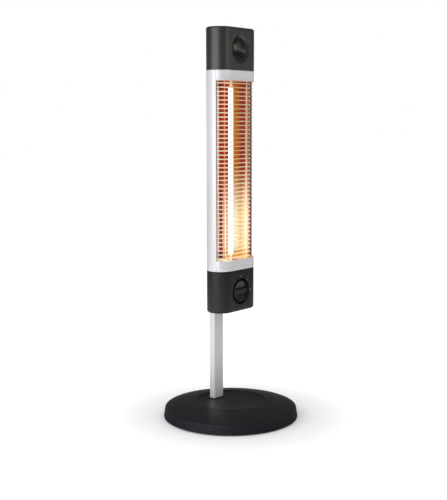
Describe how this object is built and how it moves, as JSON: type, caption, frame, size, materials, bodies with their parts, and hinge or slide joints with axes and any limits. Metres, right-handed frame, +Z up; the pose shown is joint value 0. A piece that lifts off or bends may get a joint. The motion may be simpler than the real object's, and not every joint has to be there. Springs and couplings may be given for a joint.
{
  "type": "infrared patio heater tower",
  "caption": "Slim upright radiant heater: slot-shaped head with a lamp and reflector behind a wire guard, a flat pole behind it and a round weighted base.",
  "frame": {"origin": "on the floor under the middle of the round base", "axes": "+Z up, the lamp faces -Y, +X is to the right seen from the front"},
  "size_m": [0.34, 0.34, 0.9682],
  "materials": {
    "satin_silver": "satin silver finish over aluminium",
    "satin_black": "smooth satin black coating",
    "charcoal": "satin charcoal moulding",
    "black_moulding": "satin near-black moulding",
    "gloss_black": "glossy dark infrared window",
    "chrome_wire": "bright chromed wire",
    "mirror_aluminium": "bright rolled aluminium sheet",
    "cast_iron": "painted casting",
    "zinc_steel": "zinc plated steel",
    "rubber": "moulded rubber",
    "quartz_glass": "clear quartz tube",
    "carbon": "glowing carbon strip",
    "ceramic": "white steatite",
    "black_plastic": "black nylon",
    "brass": "plain brass",
    "board_green": "circuit board laminate"
  },
  "bodies": {
    "root": {"base_cover": "satin_black", "base_weight": "cast_iron", "bottom_cap": "black_moulding", "bottom_cap_screw_1": "zinc_steel", "bottom_cap_screw_2": "zinc_steel", "cord_gland": "rubber", "cover_screw_1": "zinc_steel", "cover_screw_2": "zinc_steel", "cover_screw_3": "zinc_steel", "foot_bolt_1": "zinc_steel", "foot_bolt_2": "zinc_steel", "foot_pad_1": "rubber", "foot_pad_2": "rubber", "foot_pad_3": "rubber", "foot_pad_4": "rubber", "guard": "chrome_wire", "lamp_clip_lower": "zinc_steel", "lamp_clip_upper": "zinc_steel", "lamp_element": "carbon", "lamp_end_lower": "ceramic", "lamp_end_upper": "ceramic", "lamp_tube": "quartz_glass", "lower_band": "satin_silver", "lower_shield": "mirror_aluminium", "lower_shield_screw_1": "zinc_steel", "lower_shield_screw_2": "zinc_steel", "nut_plate_lower": "zinc_steel", "nut_plate_upper": "zinc_steel", "pole": "satin_silver", "pole_bolt_1": "zinc_steel", "pole_bolt_2": "zinc_steel", "pole_bolt_3": "zinc_steel", "pole_bolt_4": "zinc_steel", "pole_collar": "black_plastic", "pole_foot": "zinc_steel", "pole_plug": "black_plastic", "pole_spacer_lower": "black_plastic", "pole_spacer_upper": "black_plastic", "rear_housing": "satin_silver", "receiver_board": "board_green", "receiver_eye": "gloss_black", "reflector": "mirror_aluminium", "rotary_switch": "black_plastic", "switch_nut": "brass", "terminal_block": "ceramic", "thermal_cutout": "brass", "tilt_frame": "black_plastic", "tilt_pin": "zinc_steel", "top_cap": "charcoal", "top_cap_screw_1": "zinc_steel", "top_cap_screw_2": "zinc_steel", "upper_band": "satin_silver", "upper_shield": "mirror_aluminium", "upper_shield_screw_1": "zinc_steel", "upper_shield_screw_2": "zinc_steel"},
    "knob": {"control_knob": "black_moulding", "switch_shaft": "zinc_steel"},
    "pendulum": {"tilt_pendulum": "brass"}
  },
  "joints": [
    {"name": "knob_turn", "type": "hinge", "parent": "root", "child": "knob", "pos_m": [0, -0.0335, 0.3255], "axis": [0, -1, 0], "range_deg": [0, 90]},
    {"name": "tilt_swing", "type": "hinge", "parent": "root", "child": "pendulum", "pos_m": [-0.046, 0, 0.3167], "axis": [1, 0, 0], "range_deg": [-25, 25]}
  ]
}
